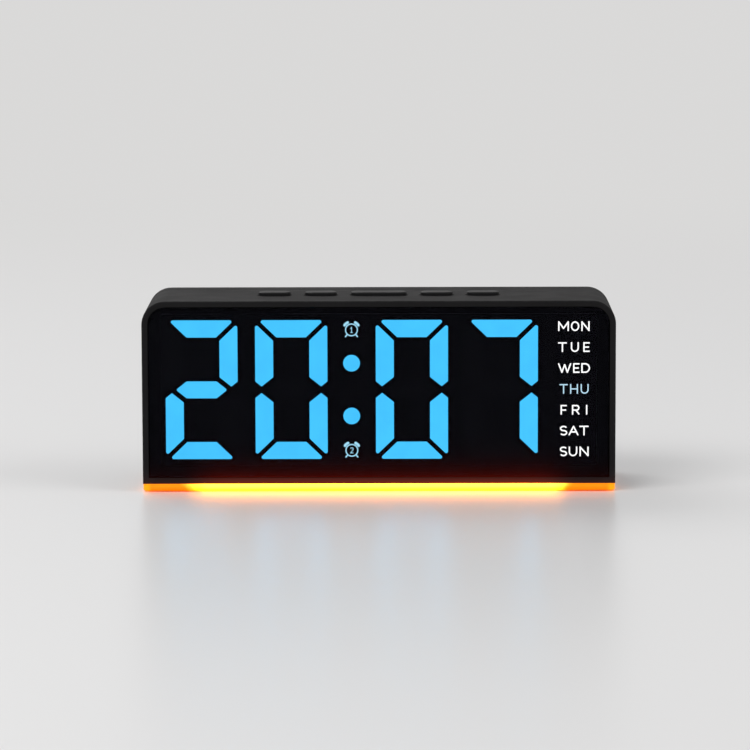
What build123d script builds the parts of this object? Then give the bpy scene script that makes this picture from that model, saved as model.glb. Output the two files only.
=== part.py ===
from build123d import *
import os
from math import cos, hypot, radians, sqrt, tan

os.makedirs("parts", exist_ok=True)

# A desk clock with a seven bar LED display, in millimetres. +X is to the right as one reads it, +Y is
# to the rear and +Z is up. The origin lies on the table under the middle of the case.

# The digits, as seen from the front.
digit_width = 24.4
digit_height = 47.4
upright_bar = 6.1
level_bar = 5.9
middle_bar = 5.8
mitre_gap = 1.56
waist_gap = 1.7
waist_angle = 38.5
apex_lift = 1.1
apex_share = 0.65
tip_radius = 0.6

# The face, from left to right and from the middle up.
left_margin = 1.4
right_margin = 1.2
digit_gap = 5.95
colon_space = 16.35
legend_space = 6.55
digit_margin = 2.0
colon_radius = 2.85
colon_height_share = 0.19
sign_radius = 3.5
sign_inset = 3.15
legend_width = 12.0
legend_height = 4.85
legend_rows = 7

# The display module behind the face.
display_clearance = 0.3
display_corner = 1.0
mask_air_gap = 0.25
mask_thickness = 0.2
window_lap = 0.25
reflector_depth = 6.75
diffuser_depth = 2.0
diffuser_fit = 0.05
well_rear_share = 0.6
board_thickness = 1.6
board_clearance = 0.5
led_width = 1.6
led_height = 0.8
led_depth = 0.6
led_pitch = 5.6

# The case: a sleeve in front and a cover behind.
body_depth = 45.0
wall = 2.0
corner_radius = 8.0
front_edge_radius = 0.4
rear_edge_radius = 3.0
ledge_thickness = 1.5
ledge_side = 4.2
ledge_bottom = 3.9
ledge_top = 2.3
cover_depth = 10.0
cover_lap = 2.0
tongue_thickness = 1.0
seam_bevel = 0.25
fit = 0.1

# The lens and its adhesive ring.
lens_rim = 2.0
lens_thickness = 2.0
lens_clearance = 0.1
lens_chamfer = 0.25
tape_thickness = 0.3
tape_inset = 0.3

# The light guide, the base plate and the feet.
foot_proud = 0.4
foot_radius = 4.5
foot_recess = 1.0
foot_fit = 0.05
foot_x_share = 0.3625
foot_y_shares = (-0.245, 0.31)
guide_thickness = 2.4
guide_bevel = 1.8
guide_side = 5.0
guide_rear = 4.0
guide_front_corner = 2.0
guide_edge_radius = 0.4
guide_inner_corner = 2.0
guide_slot_lap = 0.1
base_fit = 0.15

# The row of buttons.
button_width = 6.0
short_button = 11.0
long_button = 19.0
button_gap = 4.75
button_proud = 1.2
button_clearance = 0.2
button_edge_radius = 0.5
button_hole_bevel = 0.3
flange_lap = 1.0
flange_thickness = 1.0
flange_gap = 0.15
board_row_gap = 2.0
button_board_width = 11.0
boss_gap = 1.0
switch_size = 6.0
switch_height = 3.5
switch_corner = 0.3
switch_standoff = 2.85
plunger_radius = 1.7
plunger_clearance = 0.1
plunger_depth = 2.0
plunger_well = 3.0

# Screws and the bosses that they hold in.
screw_radius = 0.85
screw_head_radius = 1.6
screw_head_height = 1.1
screw_head_bevel = 0.4
screw_grip = 4.2
pilot_clearance = 0.05
hole_clearance = 0.15
boss_wall = 1.2
display_pad_height = 5.0
display_pad_inset = 12.0
cover_screw_radius = 1.3
cover_head_radius = 2.3
cover_head_height = 1.8
cover_screw_length = 10.0
post_floor = 2.0
post_wall = 0.8
post_inset = 8.0
post_lap = 0.5
web_thickness = 2.0
screw_tip_room = 0.6

# The base screws, countersunk.
base_screw_radius = 1.25
base_head_radius = 2.5
base_screw_length = 7.4
base_head_depth = 1.2
base_screw_x_share = 0.3875
base_screw_y_shares = (-0.085, 0.155)

# The light board over its slot in the floor.
light_board_thickness = 1.0
light_board_rear_gap = 0.7
light_slot_width = 2.0
light_slot_lip = 0.3
light_slot_inset = 16.0
light_led_count = 12
light_led_length = 3.0
light_led_width = 1.4
light_led_height = 0.8
stake_radius = 0.8
stake_inset = 2.0
stake_proud = 0.6

# The chips, the quartz crystal and the pins on the display board.
chip_length = 10.0
chip_width = 6.0
chip_height = 1.8
chip_standoff = 0.1
chip_pins = 8
pin_width = 0.45
pin_length = 1.2
pin_height = 0.3
crystal_radius = 1.0
crystal_length = 6.0
crystal_gap = 0.1
crystal_edge_share = 0.25
header_pins = 3
header_pitch = 2.54
header_pin_size = 0.6
header_rise = 1.2
header_bend = 0.8

# Ribbons, their connectors and the thin wires.
ribbon_width = 8.0
ribbon_thickness = 0.5
ribbon_bend = 2.5
connector_width = 10.0
connector_height = 3.6
connector_depth = 3.2
connector_corner = 0.3
wire_radius = 0.6
wire_bend = 5.0
wire_pitch = 3.0

# The power inlet, a USB-C socket, and its board.
inlet_x_share = -0.325
inlet_length = 7.8
inlet_width = 8.94
inlet_height = 3.26
inlet_shell = 0.3
inlet_recess = 0.3
inlet_clearance = 0.2
inlet_block_share = 0.35
inlet_block_fit = 0.05
inlet_tongue_width = 6.69
inlet_tongue_thickness = 0.7
inlet_tongue_inset = 0.8
plug_recess_width = 12.6
plug_recess_height = 7.0
plug_recess_depth = 1.0
power_board_width = 24.0
power_board_height = 16.0
power_boss_inset = 3.0

# The sounder and its grille.
sounder_radius = 11.0
sounder_height = 3.4
sounder_port_radius = 5.0
sounder_port_height = 0.8
sounder_ring_wall = 1.2
sounder_ring_height = 3.0
sounder_clearance = 0.1
grille_slots = 7
grille_pitch = 2.6
grille_slot_width = 1.2
grille_z_share = 0.52

# The backup cell, its tray and the battery door.
cell_radius = 10.0
cell_thickness = 3.2
cell_clearance = 0.3
cell_gap = 0.05
cell_rim_share = 0.17
contact_thickness = 0.25
contact_width = 5.0
contact_length = 14.0
tray_wall = 1.3
hatch_x_share = 0.28
hatch_z_share = 0.46
hatch_margin = 0.35
door_lap = 1.7
door_step = 1.2
door_clearance = 0.15
door_cell_gap = 0.3
notch_radius = 3.0
notch_depth = 0.8

# How far a cut runs past the surface that it opens, and how round a rectangle's corners may get.
overrun = 1.0
roundest_share = 0.49

# Letters of the bars of a digit, and of those that lie level.
bar_letters = "abcdefg"
level_letters = "adg"

# Levels up from the table.
case_floor = foot_proud + guide_thickness
inner_floor = case_floor + wall
display_low = inner_floor + ledge_bottom + display_clearance
display_height = digit_height + 2 * digit_margin
display_middle = display_low + display_height / 2
inner_top = display_low + display_height + display_clearance + ledge_top
body_height = inner_top + wall

# Breadths.
display_width = (
    left_margin + 4 * digit_width + 2 * digit_gap + colon_space + legend_space + legend_width + right_margin
)
opening_half = display_width / 2 + display_clearance
inner_half = opening_half + ledge_side
body_width = 2 * (inner_half + wall)

# Depths from the front to the rear.
front_face = -body_depth / 2
rear_face = body_depth / 2
split = rear_face - cover_depth
rear_inside = rear_face - wall
lens_rear = front_face + lens_thickness
ledge_front = lens_rear + tape_thickness
ledge_rear = ledge_front + ledge_thickness
mask_front = lens_rear + mask_air_gap
reflector_front = mask_front + mask_thickness
board_front = reflector_front + reflector_depth
board_rear = board_front + board_thickness
button_y = board_rear + board_row_gap + button_board_width / 2

# Places of the figures across the face.
first_digit = left_margin + digit_width / 2 - display_width / 2
digit_step = digit_width + digit_gap
pair_step = digit_step + digit_width + colon_space
digit_centres = {
    "hour_tens": first_digit,
    "hour_units": first_digit + digit_step,
    "minute_tens": first_digit + pair_step,
    "minute_units": first_digit + pair_step + digit_step,
}
colon_x = digit_centres["hour_units"] + (digit_width + colon_space) / 2
colon_rise = colon_height_share * digit_height
sign_rise = digit_height / 2 - sign_inset
legend_x = digit_centres["minute_units"] + digit_width / 2 + legend_space + legend_width / 2
legend_pitch = (digit_height - legend_height) / (legend_rows - 1)
word_levels = [display_middle + (row - (legend_rows - 1) / 2) * legend_pitch for row in range(legend_rows)]
colon_levels = [display_middle - colon_rise, display_middle + colon_rise]
sign_levels = [display_middle - sign_rise, display_middle + sign_rise]

# The bars that are lit when the clock shows 20:07, lettered as on any seven bar digit.
lit_bars = {"hour_tens": "abdeg", "hour_units": "abcdef", "minute_tens": "abcdef", "minute_units": "abc"}

# Places of the buttons, each with its length.
near_button = (long_button + short_button) / 2 + button_gap
far_button = near_button + short_button + button_gap
buttons = {
    "mode": (-far_button, short_button),
    "down": (-near_button, short_button),
    "snooze": (0, long_button),
    "up": (near_button, short_button),
    "light": (far_button, short_button),
}
flange_top = inner_top - flange_gap
cap_bottom = flange_top - flange_thickness
switch_top = cap_bottom - switch_standoff
button_board_top = switch_top - switch_height
button_board_bottom = button_board_top - board_thickness
boss_radius = screw_radius + boss_wall
button_boss_x = far_button + short_button / 2 + flange_lap + boss_gap + boss_radius
button_boss_places = (-button_boss_x, button_boss_x)

# Screws of the display board and of the rear cover.
display_screw_x = (opening_half + inner_half) / 2
display_screw_levels = (display_low + display_pad_inset, display_low + display_height - display_pad_inset)
display_screw_places = [(side * display_screw_x, z) for side in (-1, 1) for z in display_screw_levels]
post_radius = cover_head_radius + hole_clearance + post_wall
post_x = inner_half - fit - tongue_thickness + post_lap - post_radius
post_places = [
    (side * post_x, z) for side in (-1, 1) for z in (inner_floor + post_inset, inner_top - post_inset)
]
post_front = split - cover_lap
post_seat = post_front + post_floor

# The light board and the guide below it.
light_board_front = ledge_rear + fit
light_board_rear = board_front - light_board_rear_gap
light_slot_front = light_board_front + light_slot_lip
light_slot_rear = light_slot_front + light_slot_width
light_slot_middle = (light_slot_front + light_slot_rear) / 2
light_slot_half = inner_half - light_slot_inset
stake_places = (-light_slot_half - stake_inset, light_slot_half + stake_inset)
guide_opening_front = light_slot_rear + guide_slot_lap
guide_opening_rear = rear_face - guide_rear
guide_opening_half = body_width / 2 - guide_side
bevel_top = foot_proud + guide_bevel
foot_places = [
    (side * foot_x_share * body_width, share * body_depth) for side in (-1, 1) for share in foot_y_shares
]
base_screw_places = [
    (side * base_screw_x_share * body_width, share * body_depth)
    for side in (-1, 1)
    for share in base_screw_y_shares
]

# The inlet, the sounder and the hatch in the rear cover.
inlet_x = inlet_x_share * body_width
inlet_z = inner_floor + cover_lap + power_board_height / 2
inlet_mouth = rear_face - inlet_recess
power_board_rear = inlet_mouth - inlet_length
power_board_front = power_board_rear - board_thickness
power_boss_reach = power_board_width / 2 - power_boss_inset
power_boss_places = (inlet_x - power_boss_reach, inlet_x + power_boss_reach)
grille_z = grille_z_share * body_height
hatch_x = hatch_x_share * body_width
hatch_z = hatch_z_share * body_height
hatch_half = cell_radius + cell_clearance + hatch_margin
cell_rear = rear_inside - door_cell_gap
cell_front = cell_rear - cell_thickness
tray_floor = cell_front - cell_gap - contact_thickness
tray_front = tray_floor - tray_wall

# Places of what sits on the display board, and of the links to it.
chip_x = digit_step
crystal_x = chip_x - chip_length / 2 - crystal_length
header_level = inner_floor + light_board_thickness + header_rise
header_places = [(i - (header_pins - 1) / 2) * header_pitch for i in range(header_pins)]
power_link_z = inlet_z + connector_height
button_link_x = near_button / 2
button_link_z = button_board_bottom - 3 * connector_height


def between_y(outline, front, rear):
    """Solid of an outline seen from the front, between two depths."""
    return extrude(Plane.XZ.offset(-rear) * outline, rear - front)


def between_z(outline, low, high):
    """Solid of an outline seen from above, between two levels."""
    return extrude(Pos(0, 0, low) * outline, high - low)


def rod_y(radius, x, z, front, rear):
    """Round rod from front to rear."""
    return between_y(Pos(x, z) * Circle(radius), front, rear)


def rod_z(radius, x, y, low, high):
    """Upright round rod."""
    return between_z(Pos(x, y) * Circle(radius), low, high)


def group(pieces):
    """Several separate solids kept as one piece of the list."""
    return Compound([solid for piece in pieces for solid in piece.solids()])


def filled(points):
    """Flat face inside a closed run of corner points."""
    return make_face(Polyline(*points, close=True))


def rounded_box(width, height, radius):
    """Rectangle with round corners, no rounder than the rectangle allows."""
    return RectangleRounded(width, height, min(radius, roundest_share * width, roundest_share * height))


def grown_slot(length, width, grow):
    """Capsule outline grown on every side."""
    return SlotOverall(length + 2 * grow, width + 2 * grow)


def case_outline(inset):
    """Outline of the case from the front, inset on every side: square below, round at the upper corners."""
    low = case_floor + inset
    high = body_height - inset
    block = Pos(0, (low + high) / 2) * Rectangle(body_width - 2 * inset, high - low)
    return fillet(block.vertices().group_by(Axis.Y)[-1], corner_radius - inset)


def display_outline(grow):
    """Outline of the display module from the front, grown on every side."""
    outline = rounded_box(display_width + 2 * grow, display_height + 2 * grow, display_corner + grow)
    return Pos(0, display_middle) * outline


def flipped(points, across, over):
    """The same corner points mirrored left to right, top to bottom or both."""
    return [(across * x, over * z) for x, z in points]


def digit_bars(grow):
    """Corner points of the seven bars of a digit about its middle, and which of them are sharp tips.

    The outer bars meet on mitres along the diagonal of each corner. At the waist the uprights end in
    a blunt point, and the middle bar is a long hexagon between them.
    """
    half_width = digit_width / 2 + grow
    half_height = digit_height / 2 + grow
    upright = upright_bar + 2 * grow
    level = level_bar + 2 * grow
    slant = hypot(upright, level)
    shift_x = (mitre_gap / 2 - grow) * slant / level
    shift_z = (mitre_gap / 2 - grow) * slant / upright
    inner = half_width - upright
    apex = digit_width / 2 - upright_bar * (1 - apex_share)
    slope = tan(radians(waist_angle))
    along = cos(radians(waist_angle))
    lift = apex_lift - grow / along
    tip = apex - ((waist_gap - 2 * grow) / along - lift) / slope
    shoulder = tip - (middle_bar / 2 + grow) / slope
    top = [
        (shift_x - half_width, half_height),
        (half_width - shift_x, half_height),
        (inner - shift_x, half_height - level),
        (shift_x - inner, half_height - level),
    ]
    right = [
        (half_width, half_height - shift_z),
        (half_width, lift + (half_width - apex) * slope),
        (apex, lift),
        (inner, lift + (apex - inner) * slope),
        (inner, half_height - level - shift_z),
    ]
    half_middle = [(shoulder, middle_bar / 2 + grow), (-shoulder, middle_bar / 2 + grow)]
    middle = [(tip, 0)] + half_middle + [(-tip, 0)] + flipped(half_middle, -1, -1)
    return {
        "a": (top, (0, 1)),
        "b": (right, (0,)),
        "c": (flipped(right, 1, -1), (0,)),
        "d": (flipped(top, 1, -1), (0, 1)),
        "e": (flipped(right, -1, -1), (0,)),
        "f": (flipped(right, -1, 1), (0,)),
        "g": (middle, (0, 3)),
    }


def middle_of(points):
    """Middle of the box around some points."""
    xs = [x for x, z in points]
    zs = [z for x, z in points]
    return (min(xs) + max(xs)) / 2, (min(zs) + max(zs)) / 2


def bar_points(digit, bar, grow, share=1):
    """Corner points of one bar on the face, drawn in towards its own middle by a share."""
    points = digit_bars(grow)[bar][0]
    x_mid, z_mid = middle_of(points)
    x_here = digit_centres[digit] + x_mid
    z_here = display_middle + z_mid
    return [(x_here + share * (x - x_mid), z_here + share * (z - z_mid)) for x, z in points]


def bar_window(digit, bar):
    """Opening of the mask over one bar, with its sharp tips rounded."""
    points = bar_points(digit, bar, 0)
    face = filled(points)
    tips = [face.vertices().sort_by_distance((*points[i], 0))[0] for i in digit_bars(0)[bar][1]]
    return fillet(tips, tip_radius)


def round_figure(x, z, radius):
    """Round light well as a function of its growth and its share."""
    return lambda grow, share: Pos(x, z) * Circle((radius + grow) * share)


def word_figure(x, z):
    """Oblong light well under one weekday as a function of its growth and its share."""
    return lambda grow, share: Pos(x, z) * Rectangle(
        (legend_width + 2 * grow) * share, (legend_height + 2 * grow) * share
    )


def bar_figure(digit, bar):
    """Light well of one bar as a function of its growth and its share."""
    return lambda grow, share: filled(bar_points(digit, bar, grow, share))


def filling(figure):
    """Milky block that fills the mouth of a light well."""
    return between_y(figure(window_lap - diffuser_fit, 1), reflector_front, reflector_front + diffuser_depth)


def screw_y(place, seat, grip, size):
    """Screw driven forwards: its round head behind the seat and its shank in front of it."""
    radius, head_radius, head_height = size
    head = rod_y(head_radius, *place, seat, seat + head_height)
    head = chamfer(head.edges().group_by(Axis.Y)[-1], screw_head_bevel)
    return head + rod_y(radius, *place, seat - grip, seat)


def side_web(x, z, thickness, front, rear):
    """Web from a boss to the nearer side wall of the case."""
    outer = (inner_half + wall / 2) * (1 if x > 0 else -1)
    return between_y(Pos((x + outer) / 2, z) * Rectangle(abs(outer - x), thickness), front, rear)


def display_pads():
    """Pads that the display board is screwed to, and their pilot holes."""
    pads = []
    pilots = []
    for x, z in display_screw_places:
        inner = opening_half if x > 0 else -opening_half
        pads.append(side_web(inner, z, display_pad_height, ledge_rear, board_front))
        tip = board_front - screw_grip - screw_tip_room
        pilots.append(rod_y(screw_radius + pilot_clearance, x, z, tip, board_front + overrun))
    return pads, pilots


def cover_bosses():
    """Long bosses that the cover screws hold in, and their pilot holes."""
    bosses = []
    pilots = []
    front = board_rear + board_clearance
    rear = post_front - fit
    for x, z in post_places:
        bosses.append(rod_y(post_radius, x, z, front, rear))
        bosses.append(side_web(x, z, web_thickness, front, rear))
        tip = post_seat - cover_screw_length - screw_tip_room
        pilots.append(rod_y(cover_screw_radius + pilot_clearance, x, z, tip, rear + overrun))
    return bosses, pilots


def board_and_base_bosses():
    """Bosses of the button board above, stakes of the light board and bosses of the base below."""
    bosses = []
    pilots = []
    for x in button_boss_places:
        bosses.append(rod_z(boss_radius, x, button_y, button_board_top, inner_top + wall / 2))
        tip = button_board_top + screw_grip + screw_tip_room
        pilots.append(rod_z(screw_radius + pilot_clearance, x, button_y, button_board_top - overrun, tip))
    for x in stake_places:
        tip = inner_floor + light_board_thickness + stake_proud
        bosses.append(rod_z(stake_radius, x, light_slot_middle, inner_floor - wall / 2, tip))
    for x, y in base_screw_places:
        tip = foot_proud + base_screw_length + screw_tip_room
        bosses.append(rod_z(base_screw_radius + boss_wall, x, y, inner_floor - wall / 2, tip + boss_wall))
        pilots.append(rod_z(base_screw_radius + pilot_clearance, x, y, case_floor - overrun, tip))
    return bosses, pilots


def button_hole(x, length):
    """Hole of one button, and the bevel round its rim, which runs on outwards above the case."""
    here = Pos(x, button_y)
    hole = here * grown_slot(length, button_width, button_clearance)
    wide = here * grown_slot(length, button_width, button_clearance + button_hole_bevel + overrun)
    straight = between_z(hole, inner_top - overrun, body_height)
    rim = loft([Pos(0, 0, body_height - button_hole_bevel) * hole, Pos(0, 0, body_height + overrun) * wide])
    return straight, rim


def front_housing():
    """Sleeve with the lens rebate, the display ledge, the button holes and every boss of the case."""
    shell = between_y(case_outline(0), front_face, split)
    shell = fillet(shell.edges().group_by(Axis.Y)[0].sort_by(Axis.Z)[1:], front_edge_radius)
    shell = chamfer(shell.edges().group_by(Axis.Y)[-1], seam_bevel)
    cuts = [
        between_y(case_outline(lens_rim), front_face - overrun, ledge_front),
        between_y(display_outline(display_clearance), ledge_front - overrun, ledge_rear + overrun),
        between_y(case_outline(wall), ledge_rear, split + overrun),
    ]
    shell -= cuts
    holes = []
    for x, length in buttons.values():
        holes += button_hole(x, length)
    slot = SlotOverall(2 * light_slot_half, light_slot_width)
    holes.append(between_z(Pos(0, light_slot_middle) * slot, case_floor - overrun, inner_floor + overrun))
    for bosses, pilots in (display_pads(), cover_bosses(), board_and_base_bosses()):
        shell += bosses
        holes += pilots
    return shell - holes


def cover_tongue():
    """Ring inside the cover that runs forward into the sleeve."""
    inner_line = case_outline(wall + fit + tongue_thickness)
    root = between_y(case_outline(wall / 2) - inner_line, split, split + cover_lap)
    return root + between_y(case_outline(wall + fit) - inner_line, post_front, split + cover_lap)


def cover_posts():
    """Posts round the cover screws, and the wide and narrow holes through them."""
    posts = []
    holes = []
    for x, z in post_places:
        posts.append(rod_y(post_radius, x, z, post_front, rear_inside + wall / 2))
        posts.append(side_web(x, z, web_thickness, split, rear_inside + wall / 2))
        holes.append(rod_y(cover_head_radius + hole_clearance, x, z, post_seat, rear_face + overrun))
        narrow = cover_screw_radius + hole_clearance
        holes.append(rod_y(narrow, x, z, post_front - overrun, post_seat + overrun))
    return posts, holes


def inlet_seat():
    """Bosses of the power board, their pilot holes, and the opening and recess for the plug."""
    bosses = []
    holes = []
    for x in power_boss_places:
        bosses.append(rod_y(boss_radius, x, inlet_z, power_board_rear, rear_inside + wall / 2))
        tip = power_board_rear + screw_grip + screw_tip_room
        holes.append(rod_y(screw_radius + pilot_clearance, x, inlet_z, power_board_rear - overrun, tip))
    here = Pos(inlet_x, inlet_z)
    mouth = grown_slot(inlet_width, inlet_height, inlet_clearance)
    recess = SlotOverall(plug_recess_width, plug_recess_height)
    holes.append(between_y(here * mouth, rear_inside - overrun, rear_face + overrun))
    holes.append(between_y(here * recess, rear_face - plug_recess_depth, rear_face + overrun))
    return bosses, holes


def sounder_seat():
    """Ring round the sounder, and the slots of the grille cut to lengths that fill a circle."""
    inside = sounder_radius + sounder_clearance
    ring = Circle(inside + sounder_ring_wall) - Circle(inside)
    ring = between_y(Pos(0, grille_z) * ring, rear_inside - sounder_ring_height, rear_inside + wall / 2)
    reach = (grille_slots + 1) / 2 * grille_pitch
    slots = []
    for i in range(grille_slots):
        x = (i - (grille_slots - 1) / 2) * grille_pitch
        slot = SlotOverall(2 * sqrt(reach**2 - x**2), grille_slot_width, rotation=90)
        slots.append(between_y(Pos(x, grille_z) * slot, rear_inside - overrun, rear_face + overrun))
    return [ring], slots


def hatch_square(half, front, rear):
    """Square block with round corners on the axis of the hatch."""
    return between_y(Pos(hatch_x, hatch_z) * rounded_box(2 * half, 2 * half, tray_wall), front, rear)


def cell_tray():
    """Tray round the coin cell, and the nest, contact slot and stepped hatch cut into it."""
    tray = hatch_square(hatch_half + tray_wall, tray_front, rear_inside + wall / 2)
    rim_x = hatch_x - cell_radius - cell_clearance
    leaf_slot = Pos(rim_x, hatch_z) * Rectangle(2 * tray_wall, contact_width + 2 * fit)
    cuts = [
        rod_y(cell_radius + cell_clearance, hatch_x, hatch_z, tray_floor, rear_inside + overrun),
        between_y(leaf_slot, tray_floor, rear_inside + overrun),
        hatch_square(hatch_half, rear_inside, rear_face + overrun),
        hatch_square(hatch_half + door_lap, rear_face - door_step, rear_face + overrun),
    ]
    return [tray], cuts


def rear_cover():
    """Tray with a tongue that enters the sleeve, screw posts, grille, cell tray and power opening."""
    shell = between_y(case_outline(0), split, rear_face)
    shell = fillet(shell.edges().group_by(Axis.Y)[-1].sort_by(Axis.Z)[1:], rear_edge_radius)
    shell = chamfer(shell.edges().group_by(Axis.Y)[0], seam_bevel)
    shell -= between_y(case_outline(wall), split - overrun, rear_inside)
    shell += cover_tongue()
    cuts = []
    for solids, holes in (cover_posts(), inlet_seat(), sounder_seat(), cell_tray()):
        shell += solids
        cuts += holes
    return shell - cuts


def front_lens():
    """Dark glossy panel over the whole face, with a fine bevel round its front."""
    panel = between_y(case_outline(lens_rim + lens_clearance), front_face, lens_rear)
    return chamfer(panel.edges().group_by(Axis.Y)[0], lens_chamfer)


def lens_tape():
    """Adhesive ring between the lens and its ledge."""
    ring = case_outline(lens_rim + lens_clearance + tape_inset)
    ring -= display_outline(display_clearance + tape_inset)
    return between_y(ring, lens_rear, ledge_front)


def display_mask():
    """Black film over the light wells, open over each bar and dot."""
    windows = [bar_window(digit, bar) for digit in digit_centres for bar in bar_letters]
    windows += [Pos(colon_x, z) * Circle(colon_radius) for z in colon_levels]
    return between_y(display_outline(0) - windows, mask_front, reflector_front)


def display_reflector():
    """Moulded block with a light well for each figure: straight in front, then drawn in towards its LEDs."""
    land = reflector_front + diffuser_depth
    wells = []
    for figure in bar_figures + dot_figures + sign_figures + word_figures:
        mouth = figure(window_lap, 1)
        throat = figure(window_lap, well_rear_share)
        wells.append(between_y(mouth, reflector_front, land))
        ends = [Plane.XZ.offset(-land) * mouth, Plane.XZ.offset(-board_front) * throat]
        wells.append(loft(ends, ruled=True))
    return between_y(display_outline(0), reflector_front, board_front) - wells


def segment_leds():
    """The LEDs at the bottoms of the light wells: two along each bar and each word, one under the rest."""
    step = led_pitch / 2
    places = [(colon_x, z) for z in colon_levels + sign_levels]
    for z in word_levels:
        places += [(legend_x - step, z), (legend_x + step, z)]
    for digit in digit_centres:
        for bar in bar_letters:
            x, z = middle_of(bar_points(digit, bar, 0))
            across, over = (step, 0) if bar in level_letters else (0, step)
            places += [(x - across, z - over), (x + across, z + over)]
    led = Rectangle(led_width, led_height)
    return group(between_y(Pos(x, z) * led, board_front - led_depth, board_front) for x, z in places)


def display_board():
    """Circuit board behind the reflector, with its holes for the screws and the bent pins."""
    board = between_y(case_outline(wall + board_clearance), board_front, board_rear)
    front = board_front - overrun
    rear = board_rear + overrun
    holes = [rod_y(screw_radius + hole_clearance, x, z, front, rear) for x, z in display_screw_places]
    pin = Rectangle(header_pin_size, header_pin_size)
    holes += [between_y(Pos(x, header_level) * pin, front, rear) for x in header_places]
    return board - holes


def display_board_screws():
    """Four screws that hold the display board."""
    grip = board_thickness + screw_grip
    size = (screw_radius, screw_head_radius, screw_head_height)
    return group(screw_y(place, board_rear, grip, size) for place in display_screw_places)


def chip(x, z):
    """Chip with a row of bent pins along each side, on the rear of the display board."""
    block = Pos(x, z) * Rectangle(chip_length, chip_width)
    body = between_y(block, board_rear + chip_standoff, board_rear + chip_height)
    foot = Rectangle(pin_width, pin_length)
    root = Rectangle(pin_width, pin_width)
    pins = []
    for i in range(chip_pins):
        pin_x = x + (i - (chip_pins - 1) / 2) * chip_length / chip_pins
        for side in (-1, 1):
            foot_z = z + side * (chip_width + pin_length) / 2
            root_z = z + side * chip_width / 2
            pins.append(between_y(Pos(pin_x, foot_z) * foot, board_rear, board_rear + pin_height))
            pins.append(between_y(Pos(pin_x, root_z) * root, board_rear, board_rear + chip_height / 2))
    return body + pins


def quartz_crystal():
    """Small metal can that lies beside the timekeeping chip."""
    can = Cylinder(crystal_radius, crystal_length, rotation=(0, 90, 0))
    can = fillet(can.edges(), crystal_edge_share * crystal_radius)
    return Pos(crystal_x, board_rear + crystal_gap + crystal_radius, display_middle) * can


def button_board():
    """Circuit board under the buttons, with its screw holes."""
    outline = rounded_box(2 * (button_boss_x + boss_radius), button_board_width, boss_wall)
    board = between_z(Pos(0, button_y) * outline, button_board_bottom, button_board_top)
    low = button_board_bottom - overrun
    high = button_board_top + overrun
    hole = screw_radius + hole_clearance
    return board - [rod_z(hole, x, button_y, low, high) for x in button_boss_places]


def button_board_screws():
    """Two screws that hold the button board from below."""
    screws = []
    for x in button_boss_places:
        low = button_board_bottom - screw_head_height
        head = rod_z(screw_head_radius, x, button_y, low, button_board_bottom)
        head = chamfer(head.edges().group_by(Axis.Z)[0], screw_head_bevel)
        shank = rod_z(screw_radius, x, button_y, button_board_bottom, button_board_top + screw_grip)
        screws.append(head + shank)
    return group(screws)


def tact_switches():
    """Five small switches, each with a bore for its plunger."""
    block = rounded_box(switch_size, switch_size, switch_corner)
    low = switch_top - plunger_well
    switches = []
    for x, length in buttons.values():
        body = between_z(Pos(x, button_y) * block, button_board_top, switch_top)
        bore = rod_z(plunger_radius + plunger_clearance, x, button_y, low, switch_top + overrun)
        switches.append(body - bore)
    return group(switches)


def button_cap(x, length):
    """Capsule cap with the flange that keeps it in its hole."""
    here = Pos(x, button_y)
    cap = between_z(here * SlotOverall(length, button_width), cap_bottom, body_height + button_proud)
    cap = fillet(cap.edges().group_by(Axis.Z)[-1], button_edge_radius)
    return cap + between_z(here * grown_slot(length, button_width, flange_lap), cap_bottom, flange_top)


def button_plunger(x):
    """Plunger of the switch under a cap."""
    return rod_z(plunger_radius, x, button_y, switch_top - plunger_depth, cap_bottom)


def strip_along(points, radius, x, width, thickness):
    """Flat strip of even thickness along a rounded line in the depth and height, as wide as said across."""
    line = FilletPolyline(*[(x, y, z) for y, z in points], radius=radius)
    start = Plane(line @ 0, x_dir=(1, 0, 0), z_dir=line % 0)
    return sweep(start * Rectangle(width, thickness), path=line)


def power_ribbon():
    """Flat cable from the power board to the display board, with a step on its way."""
    start = board_rear + connector_depth
    end = power_board_front - connector_depth
    third = (end - start) / 3
    points = [(start, power_link_z), (start + third, power_link_z), (end - third, inlet_z), (end, inlet_z)]
    return strip_along(points, ribbon_bend, inlet_x, ribbon_width, ribbon_thickness)


def button_ribbon():
    """Flat cable from the display board up to the button board."""
    start = board_rear + connector_depth
    end = button_board_bottom - connector_depth
    points = [(start, button_link_z), (button_y, button_link_z), (button_y, end)]
    return strip_along(points, ribbon_bend, button_link_x, ribbon_width, ribbon_thickness)


def ribbon_connectors():
    """The four connectors of the two flat cables."""
    block = rounded_box(connector_width, connector_height, connector_corner)
    rear = board_rear + connector_depth
    low = button_board_bottom - connector_depth
    return group([
        between_y(Pos(inlet_x, power_link_z) * block, board_rear, rear),
        between_y(Pos(button_link_x, button_link_z) * block, board_rear, rear),
        between_y(Pos(inlet_x, inlet_z) * block, power_board_front - connector_depth, power_board_front),
        between_z(Pos(button_link_x, button_y) * block, low, button_board_bottom),
    ])


def wire_pair(x, z, end):
    """Two thin wires from the display board back to a piece, with a slack bend."""
    third = (end - board_rear) / 3
    wires = []
    for wire_x in (x - wire_pitch / 2, x + wire_pitch / 2):
        high = [(wire_x, board_rear, z + wire_bend), (wire_x, board_rear + third, z + wire_bend)]
        low = [(wire_x, end - third, z), (wire_x, end, z)]
        line = FilletPolyline(*high, *low, radius=wire_bend)
        wires.append(sweep(Plane(line @ 0, z_dir=line % 0) * Circle(wire_radius), path=line))
    return wires


def signal_wires():
    """The wires of the sounder and of the cell tray."""
    sounder_wires = wire_pair(0, grille_z, rear_inside - sounder_height)
    return group(sounder_wires + wire_pair(hatch_x, hatch_z, tray_front))


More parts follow.
